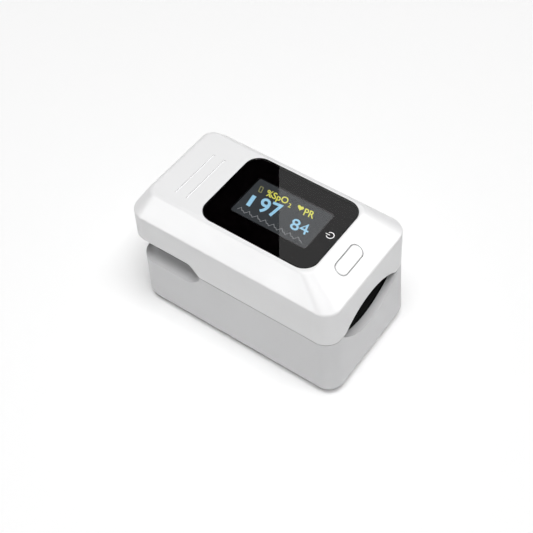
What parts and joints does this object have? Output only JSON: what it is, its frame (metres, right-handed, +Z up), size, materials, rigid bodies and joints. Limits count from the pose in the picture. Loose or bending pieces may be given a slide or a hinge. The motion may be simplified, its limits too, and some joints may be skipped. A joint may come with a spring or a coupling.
{
  "type": "fingertip pulse oximeter",
  "caption": "White spring-clip fingertip pulse oximeter with a black display window, oval power button, padded finger tunnel, rear pinch gap and sliding battery door.",
  "frame": {"origin": "middle of the closed clip's footprint, on the surface that it stands on", "axes": "+X out of the finger opening, +Y to the left of someone looking into the opening from behind the display, +Z up through the display"},
  "size_m": [0.0616, 0.0352, 0.0348],
  "materials": {
    "white_shell": "fine satin moulded plastic",
    "button_plastic": "smooth satin moulded plastic",
    "window_acrylic": "polished smoked acrylic",
    "black_tape": "black adhesive tape",
    "panel_glass": "dark display glass",
    "black_plastic": "black moulded plastic",
    "circuit_board": "green solder mask",
    "chip_resin": "black moulded resin",
    "flex_film": "amber polyimide film",
    "socket_plastic": "ivory connector plastic",
    "switch_steel": "stamped steel",
    "plunger_plastic": "black plastic",
    "finger_rubber": "soft black silicone rubber",
    "emitter_resin": "red-tinted clear resin",
    "receiver_resin": "dark clear resin",
    "lens_clear": "clear plastic window",
    "screw_steel": "zinc-plated steel",
    "pin_steel": "ground steel",
    "spring_steel": "drawn spring wire",
    "contact_plate": "nickel-plated strip",
    "cell_jacket": "printed metal jacket"
  },
  "bodies": {
    "lower_half": {"lower_cover": "white_shell", "battery_tray": "black_plastic", "battery_left": "cell_jacket", "battery_right": "cell_jacket", "front_contact_left": "contact_plate", "front_contact_right": "contact_plate", "rear_contact_bridge": "contact_plate", "battery_spring": "spring_steel", "lower_finger_pad": "finger_rubber", "receiver_board": "circuit_board", "receiver_chip": "receiver_resin", "receiver_lens": "lens_clear", "jaw_cable": "flex_film", "lower_screws": "screw_steel", "hinge_pin": "pin_steel", "hinge_spring_left": "spring_steel", "hinge_spring_right": "spring_steel"},
    "upper_half": {"upper_cover": "white_shell", "display_window": "window_acrylic", "window_adhesive": "black_tape", "display_panel": "panel_glass", "display_holder": "black_plastic", "main_board": "circuit_board", "board_chips": "chip_resin", "panel_cable": "flex_film", "panel_cable_socket": "socket_plastic", "jaw_cable_socket": "socket_plastic", "switch_case": "switch_steel", "upper_frame": "black_plastic", "upper_finger_pad": "finger_rubber", "emitter_board": "circuit_board", "emitter_chips": "emitter_resin", "emitter_lens": "lens_clear", "emitter_cable": "flex_film", "upper_screws": "screw_steel"},
    "button": {"power_button": "button_plastic", "switch_plunger": "plunger_plastic"},
    "door": {"battery_door": "white_shell"}
  },
  "joints": [
    {"name": "jaw_hinge", "type": "hinge", "parent": "lower_half", "child": "upper_half", "pos_m": [-0.0111, 0, 0.0193], "axis": [0, -1, 0], "range_deg": [0, 12], "stiffness_Nm_per_rad": 0.08, "springref_deg": -28.65, "deforming": ["hinge_spring_left", "hinge_spring_right", "jaw_cable"]},
    {"name": "button_press", "type": "slide", "parent": "upper_half", "child": "button", "axis": [0, 0, -1], "range_m": [0, 0.0003], "stiffness_N_per_m": 1500},
    {"name": "door_slide", "type": "slide", "parent": "lower_half", "child": "door", "axis": [-1, 0, 0], "range_m": [0, 0.0475]}
  ]
}
